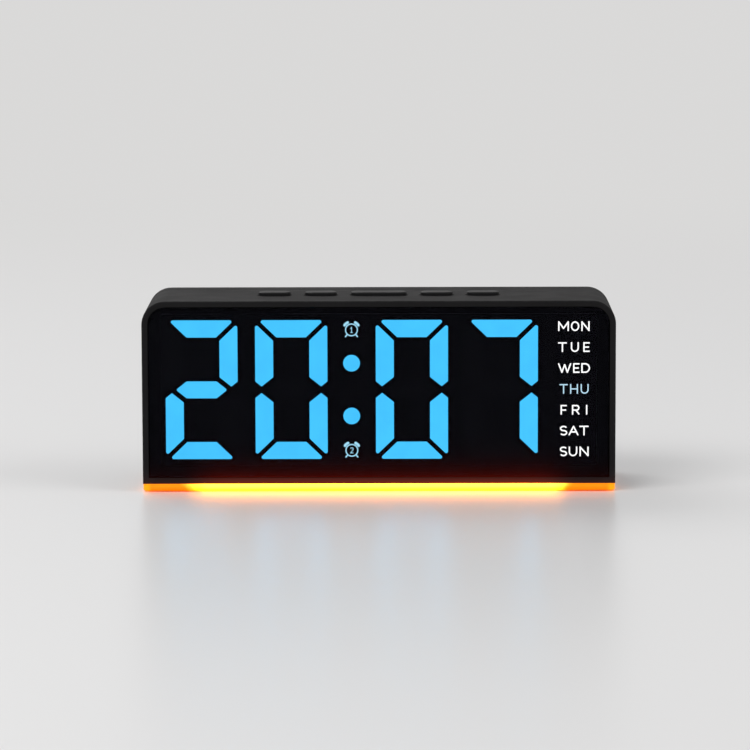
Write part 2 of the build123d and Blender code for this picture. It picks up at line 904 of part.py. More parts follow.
def light_board():
    """Narrow circuit board over the slot in the floor, held by two stakes."""
    half = light_slot_half + 2 * stake_inset
    outline = Rectangle(2 * half, light_board_rear - light_board_front)
    outline = Pos(0, (light_board_front + light_board_rear) / 2) * outline
    high = inner_floor + light_board_thickness
    board = between_z(outline, inner_floor, high)
    hole = stake_radius + fit
    low = inner_floor - overrun
    return board - [rod_z(hole, x, light_slot_middle, low, high + overrun) for x in stake_places]


def light_leds():
    """Row of LEDs under the light board that shine down into the guide."""
    led = Rectangle(light_led_length, light_led_width)
    pitch = 2 * light_slot_half / light_led_count
    places = [(i - (light_led_count - 1) / 2) * pitch for i in range(light_led_count)]
    low = inner_floor - light_led_height
    return group(between_z(Pos(x, light_slot_middle) * led, low, inner_floor) for x in places)


def light_header_pins():
    """Bent pins from the light board into the display board."""
    y = light_board_rear - header_bend
    points = [(y, inner_floor + light_board_thickness), (y, header_level), (board_rear, header_level)]
    size = header_pin_size
    return group(strip_along(points, header_bend, x, size, size) for x in header_places)


def guide_section(shrink, grow, z):
    """Level outline inside the light guide: shrunk by a clearance, then grown by its bevel."""
    front = guide_opening_front + shrink
    rear = guide_opening_rear - shrink
    width = 2 * (guide_opening_half - shrink + grow)
    outline = rounded_box(width, rear - front + 2 * grow, guide_inner_corner + grow)
    return Pos(0, (front + rear) / 2, z) * outline


def bevelled_middle(shrink, high):
    """Body inside the light guide: bevelled outwards below and straight above."""
    narrow = guide_section(shrink, 0, bevel_top)
    bevel = loft([guide_section(shrink, guide_bevel, foot_proud), narrow], ruled=True)
    return bevel + extrude(narrow, high - bevel_top)


def light_guide():
    """Amber ring under the whole edge of the case, bevelled inside to turn the light forwards."""
    plan = Rectangle(body_width, body_depth)
    plan = fillet(plan.vertices().group_by(Axis.Y)[0], guide_front_corner)
    plan = fillet(plan.vertices().group_by(Axis.Y)[-1], rear_edge_radius)
    block = between_z(plan, foot_proud, case_floor)
    block = fillet(block.edges().group_by(Axis.Z)[0], guide_edge_radius)
    return block - bevelled_middle(0, case_floor + overrun)


def base_cone(x, y, clearance):
    """Countersunk cone from the underside of the base plate."""
    wide = base_head_radius + clearance
    narrow = base_screw_radius + clearance
    cone = Cone(wide, narrow, base_head_depth, align=(Align.CENTER, Align.CENTER, Align.MIN))
    return Pos(x, y, foot_proud) * cone


def base_plate():
    """Black plate that clamps the light guide by its bevelled edge, with pockets for the feet and screws."""
    low = foot_proud - overrun
    cuts = [rod_z(foot_radius, x, y, low, foot_proud + foot_recess) for x, y in foot_places]
    for x, y in base_screw_places:
        cuts.append(rod_z(base_screw_radius + hole_clearance, x, y, low, case_floor + overrun))
        cuts.append(base_cone(x, y, hole_clearance))
    return bevelled_middle(base_fit, case_floor) - cuts


def base_screws():
    """Four countersunk screws up into the case."""
    tip = foot_proud + base_screw_length
    return group(
        base_cone(x, y, 0) + rod_z(base_screw_radius, x, y, foot_proud, tip) for x, y in base_screw_places
    )


def rubber_feet():
    """Four rubber discs in their pockets."""
    feet = [rod_z(foot_radius - foot_fit, x, y, 0, foot_proud + foot_recess) for x, y in foot_places]
    return group(chamfer(foot.edges().group_by(Axis.Z)[0], foot_proud / 2) for foot in feet)


def power_board():
    """Small upright circuit board behind the power inlet."""
    outline = Pos(inlet_x, inlet_z) * rounded_box(power_board_width, power_board_height, boss_wall)
    board = between_y(outline, power_board_front, power_board_rear)
    front = power_board_front - overrun
    rear = power_board_rear + overrun
    hole = screw_radius + hole_clearance
    return board - [rod_y(hole, x, inlet_z, front, rear) for x in power_boss_places]


def power_board_screws():
    """Two screws from the front into the rear cover's bosses."""
    screws = []
    for x in power_boss_places:
        head = rod_y(screw_head_radius, x, inlet_z, power_board_front - screw_head_height, power_board_front)
        head = chamfer(head.edges().group_by(Axis.Y)[0], screw_head_bevel)
        shank = rod_y(screw_radius, x, inlet_z, power_board_front, power_board_rear + screw_grip)
        screws.append(head + shank)
    return group(screws)


def usb_shell():
    """Rounded metal shell of the inlet, closed towards its board."""
    here = Pos(inlet_x, inlet_z)
    shell = between_y(here * SlotOverall(inlet_width, inlet_height), power_board_rear, inlet_mouth)
    inside = here * grown_slot(inlet_width, inlet_height, -inlet_shell)
    return shell - between_y(inside, power_board_rear + inlet_shell, inlet_mouth + overrun)


def usb_tongue():
    """Contact tongue of the inlet on its block at the bottom of the shell."""
    here = Pos(inlet_x, inlet_z)
    start = power_board_rear + inlet_shell
    inside = here * grown_slot(inlet_width, inlet_height, -inlet_shell - inlet_block_fit)
    block = between_y(inside, start, start + inlet_block_share * inlet_length)
    blade = here * Rectangle(inlet_tongue_width, inlet_tongue_thickness)
    return block + between_y(blade, start, inlet_mouth - inlet_tongue_inset)


def sounder():
    """Round buzzer with a raised port towards the grille."""
    shoulder = rear_inside - sounder_port_height
    body = rod_y(sounder_radius, 0, grille_z, rear_inside - sounder_height, shoulder)
    return body + rod_y(sounder_port_radius, 0, grille_z, shoulder, rear_inside)


def backup_cell():
    """Coin cell that keeps the time, with a narrower rim on its front."""
    step = cell_rim_share * cell_thickness
    body = rod_y(cell_radius, hatch_x, hatch_z, cell_front + step, cell_rear)
    return body + rod_y(cell_radius - step, hatch_x, hatch_z, cell_front, cell_front + step)


def cell_contacts():
    """The strip under the cell and the leaf at its rim."""
    strip = Pos(hatch_x, hatch_z) * SlotOverall(contact_length, contact_width)
    leaf_x = hatch_x - cell_radius - cell_gap - contact_thickness / 2
    leaf = Pos(leaf_x, hatch_z) * Rectangle(contact_thickness, contact_width)
    strip = between_y(strip, tray_floor, tray_floor + contact_thickness)
    return group([strip, between_y(leaf, tray_floor, cell_rear)])


def battery_door():
    """Stepped door that closes flush over the cell, with a fingernail notch in its edge."""
    lap = hatch_half + door_lap - door_clearance
    door = hatch_square(lap, rear_face - door_step, rear_face)
    door += hatch_square(hatch_half - door_clearance, rear_inside, rear_face - door_step)
    return door - rod_y(notch_radius, hatch_x, hatch_z + lap, rear_face - notch_depth, rear_face + overrun)


def cover_screws():
    """Four screws deep in the posts of the rear cover."""
    size = (cover_screw_radius, cover_head_radius, cover_head_height)
    return group(screw_y(place, post_seat, cover_screw_length, size) for place in post_places)


# The figures of the face, each as a function that draws its light well.
bar_figures = [bar_figure(digit, bar) for digit in digit_centres for bar in bar_letters]
dot_figures = [round_figure(colon_x, z, colon_radius) for z in colon_levels]
sign_figures = [round_figure(colon_x, z, sign_radius) for z in sign_levels]
word_figures = [word_figure(legend_x, z) for z in word_levels]

parts = {
    "front_housing": front_housing(),
    "rear_cover": rear_cover(),
    "front_lens": front_lens(),
    "lens_tape": lens_tape(),
    "display_mask": display_mask(),
    "display_reflector": display_reflector(),
    "colon_dots": group(filling(figure) for figure in dot_figures),
    "sign_diffusers": group(filling(figure) for figure in sign_figures),
    "weekday_diffusers": group(filling(figure) for figure in word_figures),
    "segment_leds": segment_leds(),
    "display_board": display_board(),
    "display_board_screws": display_board_screws(),
    "driver_chip": chip(-chip_x, display_middle),
    "timekeeping_chip": chip(chip_x, display_middle),
    "quartz_crystal": quartz_crystal(),
    "button_board": button_board(),
    "button_board_screws": button_board_screws(),
    "tact_switches": tact_switches(),
    "power_ribbon": power_ribbon(),
    "button_ribbon": button_ribbon(),
    "ribbon_connectors": ribbon_connectors(),
    "signal_wires": signal_wires(),
    "light_board": light_board(),
    "light_leds": light_leds(),
    "light_header_pins": light_header_pins(),
    "light_guide": light_guide(),
    "base_plate": base_plate(),
    "base_screws": base_screws(),
    "rubber_feet": rubber_feet(),
    "power_board": power_board(),
    "power_board_screws": power_board_screws(),
    "usb_shell": usb_shell(),
    "usb_tongue": usb_tongue(),
    "sounder": sounder(),
    "backup_cell": backup_cell(),
    "cell_contacts": cell_contacts(),
    "battery_door": battery_door(),
    "cover_screws": cover_screws(),
}
for digit, lit in lit_bars.items():
    parts[digit + "_lit_bars"] = group(filling(bar_figure(digit, bar)) for bar in lit)
dark = [(digit, bar) for digit, lit in lit_bars.items() for bar in bar_letters if bar not in lit]
parts["unlit_bars"] = group(filling(bar_figure(digit, bar)) for digit, bar in dark)
for button, (x, length) in buttons.items():
    parts[button + "_button_cap"] = button_cap(x, length)
    parts[button + "_button_plunger"] = button_plunger(x)

for name, part in parts.items():
    export_step(part, "parts/" + name + ".step")
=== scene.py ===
from math import pi, radians

import bmesh
import bpy
import numpy as np
from mathutils import Matrix, Vector


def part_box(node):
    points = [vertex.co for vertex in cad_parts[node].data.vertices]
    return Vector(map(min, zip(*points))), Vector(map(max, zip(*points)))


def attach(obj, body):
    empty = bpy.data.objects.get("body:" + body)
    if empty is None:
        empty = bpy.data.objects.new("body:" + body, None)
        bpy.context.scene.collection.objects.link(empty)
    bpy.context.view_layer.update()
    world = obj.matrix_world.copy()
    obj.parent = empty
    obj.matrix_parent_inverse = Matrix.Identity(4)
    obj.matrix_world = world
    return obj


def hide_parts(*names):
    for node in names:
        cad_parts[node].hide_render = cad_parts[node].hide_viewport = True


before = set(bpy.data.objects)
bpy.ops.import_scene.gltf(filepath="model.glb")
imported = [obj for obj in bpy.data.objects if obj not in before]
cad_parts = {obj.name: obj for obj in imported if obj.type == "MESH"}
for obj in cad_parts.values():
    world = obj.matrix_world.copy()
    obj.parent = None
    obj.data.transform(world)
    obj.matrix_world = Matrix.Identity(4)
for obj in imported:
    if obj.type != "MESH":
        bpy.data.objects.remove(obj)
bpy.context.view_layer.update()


def span(node):
    """Middle and half size of a node's box."""
    low, high = (np.array(corner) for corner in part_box(node))
    return (low + high) / 2, (high - low) / 2


# The clock's own sizes, in metres. LIT_HALF is half the length of the lit part of the light guide.
CASE_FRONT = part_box("front_housing")[0].y
CASE_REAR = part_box("rear_cover")[1].y
CASE_MIDDLE, CASE_HALF = span("front_housing")
CASE_CORNER = 0.008
GUIDE_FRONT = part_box("light_guide")[0].y
GUIDE_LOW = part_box("light_guide")[0].z
GUIDE_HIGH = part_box("light_guide")[1].z
GUIDE_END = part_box("light_guide")[1].x
LIT_HALF = 0.062
FILM_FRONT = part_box("display_mask")[0].y
INK_DEPTH = 0.00005
MILLIMETRE = 0.001

NO_LIGHT = (0.0, 0.0, 0.0, 1.0)
DUST_TONE = (0.30, 0.28, 0.26, 1.0)


# Node trees


def feed(tree, source, socket):
    """Feeds a socket from another socket, or sets its plain value."""
    if isinstance(source, bpy.types.NodeSocket):
        tree.links.new(source, socket)
    else:
        socket.default_value = source


def add(tree, kind, sockets=None, **settings):
    """New shader node with its settings, and its sockets fed by name or by number."""
    made = tree.nodes.new("ShaderNode" + kind)
    for name, value in settings.items():
        setattr(made, name, value)
    for name, source in (sockets or {}).items():
        feed(tree, source, made.inputs[name])
    return made


def calc(tree, operation, *sources):
    """Result of one Math node."""
    return add(tree, "Math", dict(enumerate(sources)), operation=operation).outputs[0]


def ramp(tree, value, low, high, first=0.0, last=1.0):
    """Smooth step of a value from first at low to last at high."""
    sockets = {"Value": value, "From Min": low, "From Max": high, "To Min": first, "To Max": last}
    return add(tree, "MapRange", sockets, interpolation_type="SMOOTHSTEP").outputs["Result"]


def blend(tree, share, first, second):
    """Colour that goes from the first to the second with a share."""
    mix = add(tree, "Mix", data_type="RGBA")
    feed(tree, share, mix.inputs[0])
    feed(tree, first, mix.inputs[6])
    feed(tree, second, mix.inputs[7])
    return mix.outputs[2]


def parts_of(tree, place):
    """The X, Y and Z of a place."""
    return add(tree, "SeparateXYZ", {"Vector": place}).outputs


def noise(tree, place, scale, detail, roughness=0.5):
    """Height of a noise with so many bumps per metre."""
    sockets = {"Vector": place, "Scale": scale, "Detail": detail, "Roughness": roughness}
    return add(tree, "TexNoise", sockets).outputs["Fac"]


def effect(name, inputs, outputs):
    """New node group with its named sockets, and its own input and output sockets to build between."""
    tree = bpy.data.node_groups.new(name, "ShaderNodeTree")
    for label, kind, value in inputs:
        socket = tree.interface.new_socket(label, in_out="INPUT", socket_type="NodeSocket" + kind)
        if value is not None:
            socket.default_value = value
    for label, kind in outputs:
        tree.interface.new_socket(label, in_out="OUTPUT", socket_type="NodeSocket" + kind)
    return tree, tree.nodes.new("NodeGroupInput").outputs, tree.nodes.new("NodeGroupOutput").inputs


def use(tree, group, sockets):
    """Places an effect in a material with its own values and returns its outputs."""
    made = tree.nodes.new("ShaderNodeGroup")
    made.node_tree = group
    for name, source in sockets.items():
        feed(tree, source, made.inputs[name])
    return made.outputs


# Effects that several finishes share


def moulded_grain():
    """Fine spark-eroded texture of a mould: two noises of grain size and of three grains, as one bump."""
    tree, given, out = effect(
        "moulded_grain",
        [("Place", "Vector", None), ("Grain", "Float", 0.0003), ("Depth", "Float", 0.00001)],
        [("Normal", "Vector"), ("Mask", "Float")],
    )
    scale = calc(tree, "DIVIDE", 1.0, given["Grain"])
    fine = noise(tree, given["Place"], scale, 2.0)
    coarse = noise(tree, given["Place"], calc(tree, "DIVIDE", scale, 3.0), 1.0)
    height = calc(tree, "ADD", calc(tree, "MULTIPLY", fine, 0.6), calc(tree, "MULTIPLY", coarse, 0.4))
    bump = add(tree, "Bump", {"Strength": 1.0, "Distance": given["Depth"], "Height": height})
    feed(tree, bump.outputs["Normal"], out["Normal"])
    feed(tree, ramp(tree, height, 0.35, 0.65), out["Mask"])
    return tree


def cloudy():
    """Soft unevenness between a low and a high value, from one noise of a given size."""
    tree, given, out = effect(
        "cloudy",
        [("Place", "Vector", None), ("Size", "Float", 0.02), ("Low", "Float", 0.4), ("High", "Float", 0.6)],
        [("Value", "Float")],
    )
    field = noise(tree, given["Place"], calc(tree, "DIVIDE", 1.0, given["Size"]), 4.0, 0.6)
    feed(tree, ramp(tree, field, 0.3, 0.7, given["Low"], given["High"]), out["Value"])
    return tree


def settled_dust():
    """Dust on upward faces: the upward part of the normal times a fine and a broad noise."""
    tree, given, out = effect(
        "settled_dust", [("Place", "Vector", None), ("Amount", "Float", 0.1)], [("Mask", "Float")]
    )
    upward = ramp(tree, parts_of(tree, add(tree, "NewGeometry").outputs["Normal"])["Z"], 0.3, 0.95)
    broad = ramp(tree, noise(tree, given["Place"], 60.0, 3.0), 0.3, 0.75)
    specks = ramp(tree, noise(tree, given["Place"], 2600.0, 2.0), 0.58, 0.75)
    cover = calc(tree, "ADD", calc(tree, "MULTIPLY", broad, 0.35), calc(tree, "MULTIPLY", specks, 0.65))
    feed(tree, calc(tree, "MULTIPLY", calc(tree, "MULTIPLY", upward, cover), given["Amount"]), out["Mask"])
    return tree


def polished_sheeny_rims():
    """Mask along the rims of the case, for their polish and for a painted sheen that lightens them: a point
    counts when it is near the outline seen from the front and near the front or the rear. The outline is a
    rectangle with round corners, measured as the length of what exceeds its inner rectangle, less the corner
    radius. A noise breaks the mask up.
    """
    tree, given, out = effect(
        "polished_sheeny_rims", [("Place", "Vector", None), ("Width", "Float", 0.0008)], [("Mask", "Float")]
    )
    place = parts_of(tree, given["Place"])
    across = []
    for axis, index in (("X", 0), ("Z", 2)):
        centred = calc(tree, "ABSOLUTE", calc(tree, "SUBTRACT", place[axis], CASE_MIDDLE[index]))
        beyond = calc(tree, "SUBTRACT", centred, CASE_HALF[index] - CASE_CORNER)
        across.append(calc(tree, "MAXIMUM", beyond, 0.0))
    squares = calc(tree, "ADD", calc(tree, "POWER", across[0], 2.0), calc(tree, "POWER", across[1], 2.0))
    inside = calc(tree, "SUBTRACT", CASE_CORNER, calc(tree, "SQRT", squares))
    centred = calc(tree, "SUBTRACT", place["Y"], (CASE_FRONT + CASE_REAR) / 2)
    depth = calc(tree, "SUBTRACT", (CASE_REAR - CASE_FRONT) / 2, calc(tree, "ABSOLUTE", centred))
    near = ramp(tree, calc(tree, "MAXIMUM", inside, depth), 0.0, given["Width"], 1.0, 0.0)
    broken = ramp(tree, noise(tree, given["Place"], 350.0, 4.0, 0.65), 0.35, 0.65, 0.2, 1.0)
    feed(tree, calc(tree, "MULTIPLY", near, broken), out["Mask"])
    return tree


def painted_bar_glow():
    """Painted glow of the bar on the front above it, in place of the bar's light that creeps up the front: it
    falls by a factor e over each fall length above the bar, and to a seventh beyond the ends of the lit row.
    """
    tree, given, out = effect(
        "painted_bar_glow", [("Place", "Vector", None), ("Fall", "Float", 0.002)], [("Mask", "Float")]
    )
    place = parts_of(tree, given["Place"])
    above = calc(tree, "DIVIDE", calc(tree, "SUBTRACT", GUIDE_HIGH, place["Z"]), given["Fall"])
    along = ramp(tree, calc(tree, "ABSOLUTE", place["X"]), LIT_HALF - 0.010, LIT_HALF + 0.006, 1.0, 0.14)
    feed(tree, calc(tree, "MULTIPLY", calc(tree, "EXPONENT", above), along), out["Mask"])
    return tree


def fine_lines():
    """Fine parallel lines of drawn metal along X: a noise stretched forty times, as a mask and a bump."""
    tree, given, out = effect(
        "fine_lines",
        [("Place", "Vector", None), ("Depth", "Float", 0.000002)],
        [("Normal", "Vector"), ("Mask", "Float")],
    )
    stretched = add(tree, "Mapping", {"Vector": given["Place"], "Scale": (1.0, 40.0, 40.0)})
    lines = noise(tree, stretched.outputs["Vector"], 110.0, 2.0)
    bump = add(tree, "Bump", {"Strength": 1.0, "Distance": given["Depth"], "Height": lines})
    feed(tree, bump.outputs["Normal"], out["Normal"])
    feed(tree, lines, out["Mask"])
    return tree


GRAIN = moulded_grain()
CLOUDY = cloudy()
DUST = settled_dust()
RIM_POLISH_SHEEN = polished_sheeny_rims()
PAINTED_BAR_GLOW = painted_bar_glow()
LINES = fine_lines()


# Finishes


def finish(name, **sockets):
    """New material with its shader's plain values, and the Object coordinates to build patterns on."""
    made = bpy.data.materials.new(name)
    made.use_nodes = True
    tree = made.node_tree
    shader = tree.nodes["Principled BSDF"]
    for label, value in sockets.items():
        shader.inputs[label.replace("_", " ")].default_value = value
    place = add(tree, "TexCoord").outputs["Object"]
    return made, tree, shader.inputs, place


def uneven(tree, place, size, low, high):
    """Value that wanders between a low and a high one over spots of a size."""
    return use(tree, CLOUDY, {"Place": place, "Size": size, "Low": low, "High": high})["Value"]


def moulded_plastic(name, tint, grain, depth, rough, dust):
    """Black moulded plastic with a fine grain, slightly uneven gloss, polished rims with a painted sheen, and
    a little dust.
    """
    made, tree, skin, place = finish(name, Specular_IOR_Level=0.14)
    texture = use(tree, GRAIN, {"Place": place, "Grain": grain, "Depth": depth})
    polish_and_painted_sheen = use(tree, RIM_POLISH_SHEEN, {"Place": place, "Width": 0.0009})["Mask"]
    dusty = use(tree, DUST, {"Place": place, "Amount": dust})["Mask"]
    gloss = uneven(tree, place, 0.018, rough - 0.05, rough + 0.06)
    light = tuple(1.8 * part for part in tint)
    body = blend(tree, calc(tree, "MULTIPLY", texture["Mask"], 0.35), (*tint, 1.0), (*light, 1.0))
    # Painted sheen: the rims are lightened to twice the tint as a highlight; the roughness below gives their
    # real polish.
    body = blend(tree, calc(tree, "MULTIPLY", polish_and_painted_sheen, 0.3), body, (*(2.0 * part for part in tint), 1.0))
    feed(tree, blend(tree, dusty, body, DUST_TONE), skin["Base Color"])
    smoother = calc(tree, "SUBTRACT", gloss, calc(tree, "MULTIPLY", polish_and_painted_sheen, 0.16))
    feed(tree, calc(tree, "ADD", smoother, calc(tree, "MULTIPLY", dusty, 0.3)), skin["Roughness"])
    feed(tree, texture["Normal"], skin["Normal"])
    return made, tree, skin, place


def case_plastic():
    """Plastic of the case, with a painted amber glow on its front rim that stands in for the light of the bar
    below it.
    """
    made, tree, skin, place = moulded_plastic(
        "case_plastic", (0.0056, 0.0053, 0.0057), grain=0.00034, depth=0.000016, rough=0.76, dust=0.03
    )
    # Painted glow: the front face just above the bar gets amber emission that fades upwards, in place of the
    # bar's light on it.
    front = ramp(tree, parts_of(tree, place)["Y"], CASE_FRONT, CASE_FRONT + 0.0005, 1.0, 0.0)
    glow = calc(tree, "MULTIPLY", use(tree, PAINTED_BAR_GLOW, {"Place": place, "Fall": 0.0016})["Mask"], front)
    feed(tree, blend(tree, glow, NO_LIGHT, (1.0, 0.06, 0.0, 1.0)), skin["Emission Color"])
    skin["Emission Strength"].default_value = 0.17
    return made


def smoked_lens():
    """Polished smoked acrylic with faint wiping marks in its gloss, and a painted amber glow near its foot
    that stands in for the light bar's light.
    """
    made, tree, skin, place = finish(
        "smoked_lens", Transmission_Weight=1.0, IOR=1.49, Specular_Tint=(0.10, 0.10, 0.14, 1.0),
        Emission_Strength=0.13,
    )
    tone = uneven(tree, place, 0.05, 0.0, 1.0)
    feed(tree, blend(tree, tone, (0.118, 0.120, 0.130, 1.0), (0.122, 0.124, 0.134, 1.0)), skin["Base Color"])
    sockets = {"Vector": place, "Rotation": (0.0, radians(24), 0.0), "Scale": (1.0, 1.0, 9.0)}
    slanted = add(tree, "Mapping", sockets).outputs["Vector"]
    feed(tree, uneven(tree, slanted, 0.03, 0.09, 0.15), skin["Roughness"])
    # Painted glow: the lens's lower few millimetres get amber emission in place of the bar's light in them.
    glow = use(tree, PAINTED_BAR_GLOW, {"Place": place, "Fall": 0.0021})["Mask"]
    feed(tree, blend(tree, glow, NO_LIGHT, (1.0, 0.03, 0.0, 1.0)), skin["Emission Color"])
    return made


def black_film():
    """Matt black film, its gloss uneven by a few percent."""
    made, tree, skin, place = finish("black_film", Specular_IOR_Level=0.05)
    tone = uneven(tree, place, 0.012, 0.0, 1.0)
    feed(tree, blend(tree, tone, (0.003, 0.003, 0.004, 1.0), (0.004, 0.004, 0.006, 1.0)), skin["Base Color"])
    feed(tree, uneven(tree, place, 0.01, 0.65, 0.75), skin["Roughness"])
    return made


def milky(name, base, light=None, strength=0.0, spread=0.06):
    """Milky diffuser: its own colour and, where it is lit, slightly uneven light, as from LEDs below it."""
    made, tree, skin, place = finish(name, Roughness=0.45, Emission_Strength=strength)
    field = uneven(tree, place, 0.006, 0.0, 1.0)
    feed(tree, blend(tree, field, (*base, 1.0), (*(0.9 * part for part in base), 1.0)), skin["Base Color"])
    if light:
        dim = tuple((1.0 - spread) * part for part in light)
        feed(tree, blend(tree, field, (*dim, 1.0), (*light, 1.0)), skin["Emission Color"])
    return made


def amber_guide():
    """Clear amber acrylic, lit from above its front bar.

    Along X the light is full inside the row of LEDs and falls to orange outside it, and rises again at the
    polished ends. Upwards it goes from deep yellow to pale yellow. Rearwards it fades along the side bars,
    in two steps.
    """
    made, tree, skin, place = finish(
        "amber_guide", Roughness=0.12, IOR=1.49, Transmission_Weight=0.35, Specular_IOR_Level=0.3,
        Specular_Tint=(1.0, 0.42, 0.06, 1.0), Emission_Strength=5.0,
    )
    parts = parts_of(tree, place)
    aside = calc(tree, "ABSOLUTE", parts["X"])
    streak = noise(tree, place, 180.0, 2.0)
    shifted = calc(tree, "ADD", aside, calc(tree, "MULTIPLY", calc(tree, "SUBTRACT", streak, 0.5), 0.006))
    slanted = calc(tree, "SUBTRACT", shifted, calc(tree, "SUBTRACT", parts["Z"], GUIDE_LOW))
    outside = ramp(tree, slanted, LIT_HALF - 0.006, LIT_HALF + 0.003)
    upper = ramp(tree, parts["Z"], GUIDE_LOW + 0.0004, GUIDE_HIGH - 0.0008)
    lit = blend(tree, upper, (1.0, 0.36, 0.008, 1.0), (1.0, 0.40, 0.034, 1.0))
    dull = blend(tree, upper, (0.16, 0.022, 0.0, 1.0), (0.17, 0.038, 0.001, 1.0))
    edge = calc(tree, "MULTIPLY", ramp(tree, aside, GUIDE_END - 0.0032, GUIDE_END - 0.0015), 0.6)
    dull = blend(tree, edge, dull, (0.22, 0.075, 0.001, 1.0))
    front = blend(tree, outside, lit, dull)
    half_way = GUIDE_FRONT + 0.0165
    behind = ramp(tree, parts["Y"], GUIDE_FRONT + 0.0055, half_way)
    side = blend(tree, behind, front, (0.05, 0.0065, 0.0, 1.0))
    far = ramp(tree, parts["Y"], half_way, GUIDE_FRONT + 0.0425)
    feed(tree, blend(tree, far, side, (0.015, 0.0015, 0.0, 1.0)), skin["Emission Color"])
    cloud = uneven(tree, place, 0.01, 0.0, 1.0)
    feed(tree, blend(tree, cloud, (0.70, 0.19, 0.006, 1.0), (0.78, 0.23, 0.010, 1.0)), skin["Base Color"])
    return made


def dark_rubber():
    """Matt black rubber with a coarse tooth and pale rubbed spots."""
    made, tree, skin, place = finish("dark_rubber", Specular_IOR_Level=0.25)
    texture = use(tree, GRAIN, {"Place": place, "Grain": 0.0005, "Depth": 0.00002})
    rubbed = uneven(tree, place, 0.003, 0.0, 0.35)
    feed(tree, blend(tree, rubbed, (0.016, 0.016, 0.016, 1.0), (0.06, 0.058, 0.055, 1.0)), skin["Base Color"])
    feed(tree, uneven(tree, place, 0.004, 0.75, 0.9), skin["Roughness"])
    feed(tree, texture["Normal"], skin["Normal"])
    return made


def metal(name, dark, light, low, high):
    """Metal with fine drawn lines, and gloss between a low and a high roughness."""
    made, tree, skin, place = finish(name, Metallic=1.0)
    lines = use(tree, LINES, {"Place": place, "Depth": 0.0000008})
    feed(tree, blend(tree, lines["Mask"], (*dark, 1.0), (*light, 1.0)), skin["Base Color"])
    feed(tree, uneven(tree, place, 0.003, low, high), skin["Roughness"])
    feed(tree, lines["Normal"], skin["Normal"])
    return made


def plain_part(name, dark, light, rough, grain=0.0004, depth=0.000008):
    """Finish of an inner part: a fine tooth, and its colour and gloss uneven by a few percent."""
    made, tree, skin, place = finish(name)
    texture = use(tree, GRAIN, {"Place": place, "Grain": grain, "Depth": depth})
    tone = uneven(tree, place, 0.006, 0.0, 1.0)
    feed(tree, blend(tree, tone, (*dark, 1.0), (*light, 1.0)), skin["Base Color"])
    feed(tree, uneven(tree, place, 0.004, rough - 0.05, rough + 0.05), skin["Roughness"])
    feed(tree, texture["Normal"], skin["Normal"])
    return made


def solder_mask():
    """Green circuit board: copper tracks under the mask show as a lighter, raised grid of short runs."""
    made, tree, skin, place = finish("solder_mask", Roughness=0.35, Coat_Weight=0.4)
    sockets = {"Vector": place, "Scale": 420.0, "Mortar Size": 0.05, "Brick Width": 0.9, "Row Height": 0.35}
    tracks = add(tree, "TexBrick", sockets).outputs["Fac"]
    feed(tree, blend(tree, tracks, (0.006, 0.075, 0.030, 1.0), (0.020, 0.16, 0.070, 1.0)), skin["Base Color"])
    bump = add(tree, "Bump", {"Strength": 0.5, "Distance": 0.00002, "Height": tracks})
    feed(tree, bump.outputs["Normal"], skin["Normal"])
    return made


def ending(*words):
    """Names of the nodes that end in one of some words."""
    return [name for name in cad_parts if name.endswith(words)]


WHITE_INK = milky("white_ink", (0.8, 0.8, 0.8), (1.0, 0.98, 0.91), 9.8, 0.03)
TODAY_INK = milky("today_ink", (0.4, 0.6, 0.7), (0.54, 0.79, 0.88), 8.0, 0.05)
BLUE_INK = milky("blue_ink", (0.3, 0.6, 0.8), (0.355, 0.68, 0.80), 8.8, 0.05)
BLACK_STEEL = metal("black_steel", (0.020, 0.020, 0.022), (0.05, 0.05, 0.052), 0.32, 0.5)
GOLD = metal("gold_plate", (0.62, 0.40, 0.12), (0.86, 0.62, 0.24), 0.18, 0.3)
STEEL = metal("plated_steel", (0.52, 0.51, 0.49), (0.63, 0.62, 0.59), 0.28, 0.34)
BASE = moulded_plastic(
    "base_plastic", (0.0060, 0.0060, 0.0064), grain=0.00050, depth=0.000022, rough=0.66, dust=0.02
)[0]
BUTTON = moulded_plastic(
    "button_plastic", (0.0050, 0.0049, 0.0053), grain=0.00022, depth=0.000006, rough=0.50, dust=0.03
)[0]

